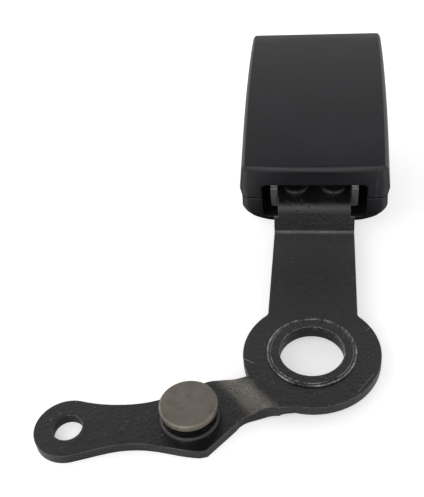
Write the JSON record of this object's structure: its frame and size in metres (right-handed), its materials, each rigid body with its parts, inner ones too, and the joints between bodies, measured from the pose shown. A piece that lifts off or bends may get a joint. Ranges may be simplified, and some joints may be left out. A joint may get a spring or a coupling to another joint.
{
  "type": "seat belt buckle",
  "caption": "Seat belt buckle with an end release button and a sprung latch, on a folded anchor strap with a bushed ring, a headed stud and an end eye.",
  "frame": {"origin": "on the axis of the anchor bore, at the upper face of the strap's ring", "axes": "+Z along the anchor bore, out of the upper face; +Y along the strap towards the buckle; the arm goes out on the -X side"},
  "size_m": [0.0978, 0.155, 0.0468],
  "materials": {
    "anchor_strap": "black paint with a fine orange peel, worn at edges",
    "anchor_bush": "black paint, worn to bare steel on the rim",
    "hook_stud": "bare turned steel, dulled",
    "stud_collar": "black paint",
    "upper_cover": "satin black moulded plastic with a fine grain",
    "lower_cover": "satin black moulded plastic with a fine grain",
    "tongue_guide": "smooth black moulded plastic",
    "buckle_frame": "zinc plated pressed steel",
    "strap_rivets": "zinc plated, peened",
    "ejector": "smooth natural plastic",
    "ejector_spring": "drawn spring wire",
    "latch_plate": "zinc plated stamped steel",
    "latch_axle": "ground steel",
    "axle_clips": "spring steel",
    "latch_spring": "spring strip",
    "lock_pin": "hardened and ground",
    "lock_slider": "smooth natural plastic",
    "lock_spring": "drawn spring wire",
    "release_button": "satin red moulded plastic",
    "button_spring_left": "drawn spring wire",
    "button_spring_right": "drawn spring wire"
  },
  "bodies": {
    "anchor": {"anchor_strap": "anchor_strap", "anchor_bush": "anchor_bush", "hook_stud": "hook_stud", "stud_collar": "stud_collar", "upper_cover": "upper_cover", "lower_cover": "lower_cover", "tongue_guide": "tongue_guide", "buckle_frame": "buckle_frame", "strap_rivets": "strap_rivets", "latch_axle": "latch_axle", "axle_clips": "axle_clips", "latch_spring": "latch_spring", "ejector_spring": "ejector_spring", "lock_spring": "lock_spring", "button_spring_left": "button_spring_left", "button_spring_right": "button_spring_right"},
    "button": {"release_button": "release_button"},
    "ejector": {"ejector": "ejector"},
    "latch": {"latch_plate": "latch_plate"},
    "lock": {"lock_slider": "lock_slider", "lock_pin": "lock_pin"}
  },
  "joints": [
    {"name": "button_slide", "type": "slide", "parent": "anchor", "child": "button", "axis": [0, -0.9659, -0.2588], "range_m": [0, 0.005], "stiffness_N_per_m": 300, "springref_m": -0.01, "deforming": ["button_spring_left", "button_spring_right"]},
    {"name": "ejector_slide", "type": "slide", "parent": "anchor", "child": "ejector", "axis": [0, -0.9659, -0.2588], "range_m": [0, 0.01], "stiffness_N_per_m": 120, "springref_m": -0.02, "deforming": ["ejector_spring"]},
    {"name": "latch_swing", "type": "hinge", "parent": "anchor", "child": "latch", "pos_m": [0, 0.07206, 0.01649], "axis": [-1, 0, 0], "range_deg": [0, 10.5], "deforming": ["latch_spring"]},
    {"name": "lock_slide", "type": "slide", "parent": "anchor", "child": "lock", "axis": [0, 0.9659, 0.2588], "range_m": [0, 0.004], "deforming": ["lock_spring"]}
  ],
  "couplings": [
    {"joint": "latch_swing", "follows": "ejector_slide", "rad_per_m": 18.326},
    {"joint": "lock_slide", "follows": "ejector_slide", "ratio": 0.4}
  ]
}
